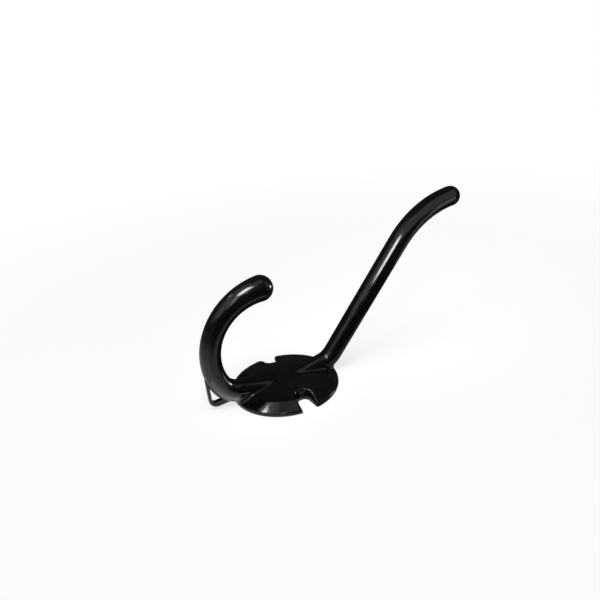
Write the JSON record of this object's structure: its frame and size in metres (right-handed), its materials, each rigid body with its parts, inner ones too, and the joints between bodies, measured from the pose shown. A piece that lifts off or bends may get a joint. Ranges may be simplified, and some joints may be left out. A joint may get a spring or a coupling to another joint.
{
  "type": "double coat hook",
  "caption": "Cast double coat hook: round wall plate with two open screw notches, a long straight hat arm, a short curled coat arm with a bulb tip, and a small eye.",
  "frame": {"origin": "centre of the wall plate's flat back", "axes": "+Z out of the wall, +X up the wall along the long arm; as modelled the hook lies on its flat back"},
  "size_m": [0.1094, 0.0396, 0.0606],
  "materials": {
    "black_coating": "gloss"
  },
  "bodies": {
    "root": {"coat_hook": "black_coating"}
  },
  "joints": []
}
